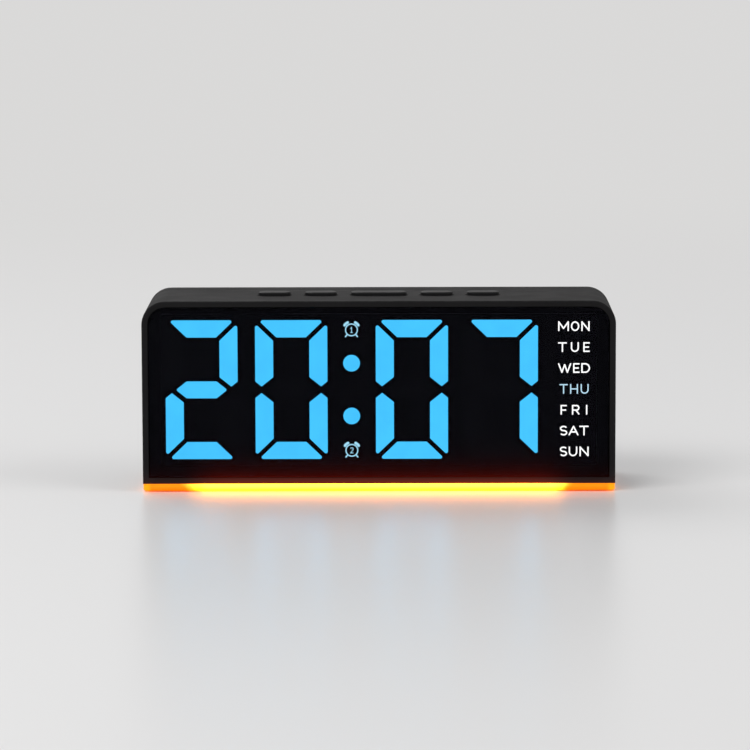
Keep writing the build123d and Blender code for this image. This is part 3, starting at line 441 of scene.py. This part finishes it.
FINISHES = {
    case_plastic(): ["front_housing", "rear_cover", "battery_door"],
    BASE: ["base_plate"],
    BUTTON: ending("_button_cap"),
    smoked_lens(): ["front_lens"],
    black_film(): ["display_mask"],
    milky("lit_diffuser", (0.05, 0.30, 0.55), (0.066, 0.600, 1.0), 8.0): ending("_lit_bars", "colon_dots"),
    milky("dark_diffuser", (0.003, 0.004, 0.006)): ["unlit_bars"],
    milky("milky_diffuser", (0.5, 0.55, 0.6)): ["sign_diffusers", "weekday_diffusers"],
    amber_guide(): ["light_guide"],
    dark_rubber(): ["rubber_feet"],
    BLACK_STEEL: ["base_screws", "cover_screws"],
    STEEL: ending("board_screws", "quartz_crystal", "usb_shell", "backup_cell", "cell_contacts"),
    GOLD: ["light_header_pins"],
    solder_mask(): ending("_board"),
    plain_part("adhesive_tape", (0.012, 0.012, 0.012), (0.022, 0.022, 0.022), 0.8): ["lens_tape"],
    plain_part("reflector_plastic", (0.70, 0.70, 0.68), (0.80, 0.80, 0.78), 0.35): ["display_reflector"],
    plain_part("led_package", (0.72, 0.70, 0.58), (0.84, 0.82, 0.70), 0.4, 0.0002): ["segment_leds"],
    plain_part("amber_led", (0.80, 0.42, 0.05), (0.95, 0.55, 0.10), 0.3, 0.0002): ["light_leds"],
    plain_part("chip_epoxy", (0.012, 0.012, 0.013), (0.022, 0.022, 0.023), 0.6, 0.0002): ending("_chip"),
    plain_part("switch_plastic", (0.014, 0.014, 0.015), (0.024, 0.024, 0.025), 0.45): ending(
        "_plunger", "tact_switches", "usb_tongue", "sounder"
    ),
    plain_part("connector_plastic", (0.62, 0.60, 0.50), (0.72, 0.70, 0.60), 0.4): ["ribbon_connectors"],
    plain_part("ribbon_vinyl", (0.34, 0.34, 0.35), (0.42, 0.42, 0.43), 0.45): ending("_ribbon"),
    plain_part("wire_vinyl", (0.30, 0.012, 0.010), (0.42, 0.020, 0.016), 0.4): ["signal_wires"],
}
for coating, names in FINISHES.items():
    for name in names:
        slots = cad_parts[name].data.materials
        slots.clear()
        slots.append(coating)


# Meshes


def skinned(name, points, faces, scale=1.0):
    """Mesh of points and faces with doubles merged and its faces turned outwards, resized by a scale."""
    mesh = bpy.data.meshes.new(name)
    mesh.from_pydata(np.asarray(points, float).tolist(), [], [list(map(int, face)) for face in faces])
    work = bmesh.new()
    work.from_mesh(mesh)
    bmesh.ops.remove_doubles(work, verts=work.verts, dist=1e-7)
    bmesh.ops.recalc_face_normals(work, faces=work.faces)
    bmesh.ops.scale(work, vec=(scale, scale, scale), verts=work.verts)
    work.to_mesh(mesh)
    work.free()
    return mesh


def placed(name, mesh):
    """New object of the scene for a mesh."""
    made = bpy.data.objects.new(name, mesh)
    bpy.context.scene.collection.objects.link(made)
    return made


def fitted(name, mesh, coating):
    """Piece of the case made of a mesh, with its finish, hung under the case's body."""
    mesh.materials.clear()
    mesh.materials.append(coating)
    piece = placed(name, mesh)
    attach(piece, "case")
    return piece


def grid_faces(rows, columns):
    """Quads of a grid whose points are numbered row by row."""
    index = np.arange(rows * columns).reshape(rows, columns)
    return np.stack((index[:-1, :-1], index[1:, :-1], index[1:, 1:], index[:-1, 1:]), axis=-1).reshape(-1, 4)


def united(name, shells):
    """One closed skin around closed shells that overlap, each given as points and faces.

    They are joined at a thousand times their size, where rounding is small beside them.
    """
    large = 1000.0
    strokes = [placed(name, skinned(name, points, faces, large)) for points, faces in shells]
    others = bpy.data.collections.new(name)
    for stroke in strokes[1:]:
        others.objects.link(stroke)
    join = strokes[0].modifiers.new("join", "BOOLEAN")
    join.operation = "UNION"
    join.operand_type = "COLLECTION"
    join.collection = others
    join.solver = "EXACT"
    seen = strokes[0].evaluated_get(bpy.context.evaluated_depsgraph_get())
    mesh = bpy.data.meshes.new_from_object(seen)
    mesh.transform(Matrix.Scale(1 / large, 4))
    mesh.name = name
    for stroke in strokes:
        left_over = stroke.data
        bpy.data.objects.remove(stroke)
        bpy.data.meshes.remove(left_over)
    bpy.data.collections.remove(others)
    return mesh


# Words and signs on the film


def arc(x, z, reach, start, end, count=20, reach_z=None):
    """Points of an elliptic arc: centre plus reach times the cosine and sine of angles in degrees."""
    turn = np.radians(np.linspace(start, end, count))
    return np.column_stack((x + reach * np.cos(turn), z + (reach_z or reach) * np.sin(turn)))


def smooth(points, count):
    """Smooth line through points: a cubic on each span whose slope at a point is half the step between its
    neighbours.
    """
    given = np.asarray(points, float)
    ends = np.vstack((2 * given[0] - given[1], given, 2 * given[-1] - given[-2]))
    t = np.linspace(0.0, 1.0, count, endpoint=False)[:, None]
    spans = []
    for a, b, c, d in zip(ends, ends[1:], ends[2:], ends[3:]):
        bend = t**2 * (a - 2.5 * b + 2 * c - 0.5 * d) + 0.5 * t**3 * (3 * b - 3 * c + d - a)
        spans.append(b + 0.5 * t * (c - a) + bend)
    return np.vstack(spans + [given[-1:]])


def letter(sign, w, h):
    """Centre lines of a capital letter or numeral in a box of a width and a height, each a run of points."""
    m = h / 2
    shapes = {
        "A": [[(0, 0), (w / 2, h)], [(w / 2, h), (w, 0)], [(0.20 * w, 0.34 * h), (0.80 * w, 0.34 * h)]],
        "D": [[(0, h), (0, 0)], np.vstack(([(0, 0)], arc(w - m, m, m, -90, 90), [(0, h)]))],
        "E": [[(w, h), (0, h)], [(0, h), (0, 0)], [(0, 0), (w, 0)], [(0, m), (0.86 * w, m)]],
        "F": [[(w, h), (0, h)], [(0, h), (0, 0)], [(0, 0.47 * h), (0.86 * w, 0.47 * h)]],
        "H": [[(0, 0), (0, h)], [(w, 0), (w, h)], [(0, m), (w, m)]],
        "I": [[(w / 2, 0), (w / 2, h)]],
        "M": [[(0, 0), (0, h)], [(0, h), (w / 2, 0.24 * h)], [(w / 2, 0.24 * h), (w, h)], [(w, h), (w, 0)]],
        "N": [[(0, 0), (0, h)], [(0, h), (w, 0)], [(w, 0), (w, h)]],
        "O": [arc(w / 2, m, w / 2, 90, 450, 48, m)],
        "R": [
            [(0, 0), (0, h)],
            np.vstack(([(0, h)], arc(w - 0.27 * h, 0.73 * h, 0.27 * h, 90, -90), [(0, 0.46 * h)])),
            [(0.52 * w, 0.46 * h), (w, 0)],
        ],
        "S": [np.vstack((
            arc(w / 2, 0.75 * h, w / 2, 40, 250, 18, h / 4), arc(w / 2, 0.25 * h, w / 2, 70, -140, 18, h / 4)
        ))],
        "T": [[(0, h), (w, h)], [(w / 2, h), (w / 2, 0)]],
        "U": [np.vstack(([(0, h)], arc(w / 2, w / 2, w / 2, 180, 360), [(w, h)]))],
        "W": [
            [(0, h), (0.27 * w, 0)], [(0.27 * w, 0), (w / 2, 0.9 * h)],
            [(w / 2, 0.9 * h), (0.73 * w, 0)], [(0.73 * w, 0), (w, h)],
        ],
        "1": [
            smooth([(0.12 * w, 0.74 * h), (0.42 * w, 0.88 * h), (0.55 * w, h)], 4),
            [(0.55 * w, h), (0.55 * w, 0)],
            [(0.2 * w, 0), (0.9 * w, 0)],
        ],
        "2": [np.vstack((arc(w / 2, 0.72 * h, w / 2, 160, -20, 20, 0.28 * h), [(0, 0)])), [(0, 0), (w, 0)]],
    }
    return [np.asarray(run, float) for run in shapes[sign]]


def sideways(steps):
    """Each step turned a quarter to its left."""
    return np.column_stack((-steps[:, 1], steps[:, 0]))


def cap(end, along, half):
    """Points that close a stroke's end, from its left to its right: a square cut half a stroke beyond the end
    where the stroke runs level or upright, and otherwise a half circle around the end.
    """
    left = sideways(along[None])
    if np.min(np.abs(along)) < 1e-6:
        return end + half * np.vstack((along + left, along - left))
    turn = np.linspace(0.0, pi, 9)[1:-1, None]
    return end + half * (np.cos(turn) * left + np.sin(turn) * along)


def edges_of(run, stroke):
    """Edges of a flat stroke along a centre line: the line plus and minus half the stroke along its normal.

    An open line gives one outline, with a cap at each end, and a closed line its outer and inner edge.
    """
    half = stroke / 2
    closed = np.allclose(run[0], run[-1])
    steps = np.diff(run, axis=0)
    steps /= np.linalg.norm(steps, axis=1)[:, None]
    before = np.vstack((steps[-1:] if closed else steps[:1], steps))
    after = np.vstack((steps, steps[:1] if closed else steps[-1:]))
    normal = sideways(before + after)
    normal /= np.sum(normal * sideways(before), axis=1)[:, None]
    left, right = run + half * normal, run - half * normal
    if closed:
        return [left[:-1], right[:-1]]
    return [np.vstack((left, cap(run[-1], after[-1], half), right[::-1], cap(run[0], -before[0], half)))]


def printed(run, stroke):
    """Closed shell of one stroke of ink, from the film's front forwards.

    An open stroke is an outline filled front and back. A closed one is the band between its edges.
    """
    edges = edges_of(run, stroke)
    front = FILM_FRONT - INK_DEPTH
    levels = [(edges[0], front), (edges[0], FILM_FRONT)]
    levels += [(edge, depth) for edge in edges[1:] for depth in (FILM_FRONT, front)]
    points = np.vstack([
        np.column_stack((edge[:, 0], np.full(len(edge), depth), edge[:, 1])) for edge, depth in levels
    ])
    count = len(edges[0])
    index = np.arange(count)
    following = (index + 1) % count
    bands = len(levels) if len(edges) > 1 else 1
    faces = []
    for level in range(bands):
        here, there = level * count, (level + 1) % len(levels) * count
        faces += np.column_stack((here + index, here + following, there + following, there + index)).tolist()
    if bands == 1:
        faces += [index.tolist(), (index + count).tolist()[::-1]]
    return points, faces


# Where each letter of a weekday starts and ends, in millimetres from the middle of the column.
WEEKDAYS = {
    "MON": ((-5.75, -2.15), (-1.45, 1.35), (2.05, 4.85)),
    "TUE": ((-5.75, -2.85), (-1.45, 1.25), (2.75, 4.90)),
    "WED": ((-5.75, -1.30), (-0.65, 1.50), (2.10, 5.05)),
    "THU": ((-5.25, -2.45), (-1.65, 1.00), (1.90, 4.60)),
    "FRI": ((-4.85, -2.75), (-1.00, 1.55), (3.75, 4.20)),
    "SAT": ((-5.05, -2.55), (-2.15, 1.25), (1.55, 4.65)),
    "SUN": ((-5.05, -2.60), (-2.05, 0.85), (1.60, 4.70)),
}

# Sizes of the words in metres, and how far the words stand above the middle of their diffusers and the signs
# below the middle of theirs.
WORD_HEIGHT = 0.0033
WORD_STROKE = 0.00045
TODAY_STROKE = 0.00040
WORD_PITCH = 0.00712
WORD_RISE = 0.0001
SIGN_DROP = 0.0002


def weekday(word, x, level, ink, stroke):
    """One weekday: each letter's strokes in its own box, inset by half a stroke."""
    shells = []
    low = level - WORD_HEIGHT / 2 + stroke / 2
    for sign, (first, last) in zip(word, WEEKDAYS[word]):
        left = x + MILLIMETRE * first + stroke / 2
        width = MILLIMETRE * (last - first) - stroke
        shells += [printed(run + (left, low), stroke) for run in letter(sign, width, WORD_HEIGHT - stroke)]
    name = "weekday_" + word.lower()
    fitted(name, united(name, shells), ink)


def alarm_sign(name, numeral, x, z):
    """Alarm clock sign: a ring, two bells as thick arcs above it, two short feet, and its numeral."""
    ring, bells = 0.0020, 0.0028
    ring_stroke, bell_stroke, foot_stroke, numeral_stroke = 0.00038, 0.00088, 0.00046, 0.00023
    strokes = [(arc(x, z, ring, 0, 360, 56), ring_stroke)]
    for side in (-1, 1):
        strokes.append((arc(x, z, bells, 90 - side * 27, 90 - side * 56, 12), bell_stroke))
        foot = [(x + side * 0.00148, z - 0.00162), (x + side * 0.00200, z - 0.00228)]
        strokes.append((np.array(foot), foot_stroke))
    width, height = 0.00088, 0.00180
    low = np.array((x - width / 2, z - height / 2))
    strokes += [(run + low, numeral_stroke) for run in letter(numeral, width, height)]
    fitted(name, united(name, [printed(*stroke) for stroke in strokes]), BLUE_INK)


word_middle = span("weekday_diffusers")[0]
for row, word in enumerate(("SUN", "SAT", "FRI", "THU", "WED", "TUE", "MON")):
    ink, stroke = (TODAY_INK, TODAY_STROKE) if word == "THU" else (WHITE_INK, WORD_STROKE)
    weekday(word, word_middle[0], word_middle[2] + WORD_RISE + (row - 3) * WORD_PITCH, ink, stroke)
sign_middle, sign_reach = span("sign_diffusers")
for name, numeral, side in (("alarm_sign_one", "1", 1), ("alarm_sign_two", "2", -1)):
    level = sign_middle[2] - SIGN_DROP + side * (sign_reach[2] - sign_reach[0])
    alarm_sign(name, numeral, sign_middle[0], level)


# Screws with a cross recess

# Reach of an arm of the cross from its middle, and half its width.
CROSS_ARM = 0.0011
CROSS_HALF = 0.00027


def cross(turn):
    """Radius of the cross's outline at an angle: the flat end of the nearest arm, or else its side."""
    fold = np.abs((turn + pi / 4) % (pi / 2) - pi / 4)
    return np.minimum(CROSS_ARM / np.cos(fold), CROSS_HALF / np.maximum(np.sin(fold), 1e-9))


def recessed_screws(node, places, rows, facing):
    """Screws with a cross recess in place of a node's plain ones, all in one mesh.

    The surface is a function of a row and an angle: the first rows follow the cross's outline, narrower on
    the recess's floor, and the others are circles along the screw's profile. Each row is (level, radius,
    share of the cross's outline). facing turns the head's side of the screw to its place.
    """
    corner = np.arctan2(CROSS_HALF, CROSS_ARM)
    quarter = np.unique(np.concatenate((np.linspace(-pi / 4, pi / 4, 9), [-corner, corner])))[:-1]
    turn = np.concatenate([quarter + k * pi / 2 for k in range(4)])
    outline = cross(turn)
    rings = []
    for level, radius, share in rows:
        reach = share * outline if share else np.full(len(turn), radius)
        rings.append(np.column_stack((reach * np.cos(turn), reach * np.sin(turn), np.full(len(turn), level))))
    closed = np.concatenate((np.stack(rings), np.stack(rings)[:, :1]), axis=1)
    poles = [np.tile((0.0, 0.0, rows[end][0]), (1, closed.shape[1], 1)) for end in (0, -1)]
    shell = np.concatenate((poles[0], closed, poles[1]))
    quads = grid_faces(*shell.shape[:2])
    body = shell.reshape(-1, 3) @ np.array(facing).T
    points = np.vstack([body + place for place in places])
    faces = np.vstack([quads + k * len(body) for k in range(len(places))])
    piece = fitted(node + "_detailed", skinned(node, points, faces), BLACK_STEEL)
    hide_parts(node)


# A cover screw's rows go over its domed head, and a base screw's over its countersunk one. In both they start
# on the recess's floor and mouth, and go on down the shank to its tip.
cover_head, cover_rise = 0.0023, 0.0018
middle, reach = span("cover_screws")
recessed_screws(
    "cover_screws",
    [
        (middle[0] + across * (reach[0] - cover_head), middle[1] + reach[1] - cover_rise,
         middle[2] + up * (reach[2] - cover_head))
        for across in (-1, 1) for up in (-1, 1)
    ],
    [
        (0.0007, 0, 0.55), (cover_rise, 0, 1.0), (cover_rise, 0.00175, 0), (0.0017, 0.00195, 0),
        (0.0014, 0.0022, 0), (0.0011, cover_head, 0), (0.0, cover_head, 0), (0.0, 0.0013, 0),
        (-0.0096, 0.0013, 0), (-0.0100, 0.0009, 0),
    ],
    Matrix.Rotation(radians(-90), 3, "X"),
)
base_head = 0.0025
middle, reach = span("base_screws")
recessed_screws(
    "base_screws",
    [
        (middle[0] + across * (reach[0] - base_head), middle[1] + along * (reach[1] - base_head),
         middle[2] - reach[2])
        for across in (-1, 1) for along in (-1, 1)
    ],
    [
        (-0.0011, 0, 0.55), (0.0, 0, 1.0), (0.0, 0.0023, 0), (-0.0001, base_head, 0), (-0.0012, 0.00125, 0),
        (-0.0071, 0.00125, 0), (-0.0074, 0.0009, 0),
    ],
    Matrix.Rotation(radians(180), 3, "X"),
)


# Contacts of the power inlet


def inlet_contacts():
    """Gold strips on both faces of the inlet's tongue, each a flat pillow.

    A pillow is an ellipsoid whose sines and cosines are raised to a quarter power, so that it is nearly a
    box with soft edges. Half of it lies in the tongue.
    """
    tongue, half = span("usb_tongue")
    blade_half, pitch, count, inset = 0.00035, 0.0005, 12, 0.0003
    size = np.array((0.00015, 0.0016, 0.00004))

    def soft(value):
        """Quarter power that keeps the sign."""
        return np.sign(value) * np.abs(value) ** 0.25

    u, v = np.meshgrid(np.linspace(-pi / 2, pi / 2, 9), np.linspace(-pi, pi, 17), indexing="ij")
    across, along, up = soft(np.cos(u)) * soft(np.cos(v)), soft(np.sin(u)), soft(np.cos(u)) * soft(np.sin(v))
    body = np.stack((across, along, up), axis=-1).reshape(-1, 3) * size
    y = tongue[1] + half[1] - size[1] - inset
    places = [
        (tongue[0] + (i - (count - 1) / 2) * pitch, y, tongue[2] + side * blade_half)
        for side in (-1, 1) for i in range(count)
    ]
    points = np.vstack([body + place for place in places])
    faces = np.vstack([grid_faces(*u.shape) + k * len(body) for k in range(len(places))])
    fitted("inlet_contacts", skinned("inlet_contacts", points, faces), GOLD)


inlet_contacts()


# Studio

PALE = (0.70, 0.695, 0.69, 1.0)
FLOOR_HALF = 9.0
LIGHT_AIM = (0.0, 0.0, 0.03)


def backdrop_ray(tree):
    """One for rays that see the backdrop: from the camera, from gloss and through glass."""
    seen = add(tree, "LightPath").outputs
    total = calc(tree, "ADD", seen["Is Camera Ray"], seen["Is Glossy Ray"])
    return calc(tree, "MINIMUM", calc(tree, "ADD", total, seen["Is Transmission Ray"]), 1.0)


def studio_floor():
    """Pale satin floor, a flat square grid that turns into the backdrop's even tone far from the clock."""
    line = np.linspace(-FLOOR_HALF, FLOOR_HALF, 25)
    u, v = np.meshgrid(line, line, indexing="ij")
    points = np.column_stack((u.ravel(), v.ravel(), np.zeros(u.size)))
    mesh = bpy.data.meshes.new("studio_floor")
    mesh.from_pydata(points.tolist(), [], grid_faces(*u.shape).tolist())
    made, tree, _, place = finish(
        "studio_floor", Base_Color=(0.655, 0.65, 0.645, 1.0), Roughness=0.32, Specular_IOR_Level=0.4
    )
    spread = add(tree, "VectorMath", {0: place}, operation="LENGTH").outputs["Value"]
    far = calc(tree, "MULTIPLY", ramp(tree, spread, 0.30, 1.1), backdrop_ray(tree))
    even = add(tree, "Emission", {"Color": PALE, "Strength": 1.0})
    lit = tree.nodes["Principled BSDF"]
    mixed = add(tree, "MixShader", {0: far, 1: lit.outputs[0], 2: even.outputs[0]})
    feed(tree, mixed.outputs[0], tree.nodes["Material Output"].inputs["Surface"])
    mesh.materials.append(made)
    placed("studio_floor", mesh)


def soft_light(name, place, size, power):
    """Large soft lamp at a place, turned to the clock."""
    lamp = bpy.data.lights.new(name, "AREA")
    lamp.shape = "RECTANGLE"
    lamp.size, lamp.size_y = size
    lamp.energy = power
    holder = bpy.data.objects.new(name, lamp)
    bpy.context.scene.collection.objects.link(holder)
    look = (Vector(LIGHT_AIM) - Vector(place)).to_track_quat("-Z", "Y").to_matrix().to_4x4()
    holder.matrix_world = Matrix.Translation(place) @ look


def studio_air():
    """World that lights the clock softly and shows the backdrop's pale tone where it is seen."""
    world = bpy.data.worlds.new("studio_air")
    bpy.context.scene.world = world
    world.use_nodes = True
    tree = world.node_tree
    lighting = tree.nodes["Background"]
    lighting.inputs["Color"].default_value = (0.86, 0.87, 0.90, 1.0)
    lighting.inputs["Strength"].default_value = 0.42
    shown = add(tree, "Background", {"Color": PALE, "Strength": 1.0})
    mixed = add(tree, "MixShader", {0: backdrop_ray(tree), 1: lighting.outputs[0], 2: shown.outputs[0]})
    feed(tree, mixed.outputs[0], tree.nodes["World Output"].inputs["Surface"])


studio_floor()
studio_air()
soft_light("key_light", (-1.1, -1.2, 1.7), (1.6, 1.2), 32.0)
soft_light("fill_light", (1.5, -0.6, 1.2), (1.2, 1.2), 12.0)
soft_light("rear_light", (-0.9, 1.3, 1.5), (1.4, 1.0), 17.0)

# The photograph's view, with its angles in degrees.
VIEW_PLACE = (0.0071, -1.3566, 0.2206)
VIEW_TURN = 0.359
VIEW_DOWN = 7.714
VIEW_ROLL = -0.166

camera = bpy.data.cameras.new("camera")
camera.sensor_width = 36.0
camera.lens = 191.5
camera.clip_start = 0.05
camera.clip_end = 30.0
viewer = bpy.data.objects.new("camera", camera)
bpy.context.scene.collection.objects.link(viewer)
viewer.matrix_world = (
    Matrix.Translation(VIEW_PLACE)
    @ Matrix.Rotation(radians(VIEW_TURN), 4, "Z")
    @ Matrix.Rotation(radians(90 - VIEW_DOWN), 4, "X")
    @ Matrix.Rotation(radians(VIEW_ROLL), 4, "Z")
)
bpy.context.scene.camera = viewer
bpy.context.scene.view_settings.view_transform = "Standard"
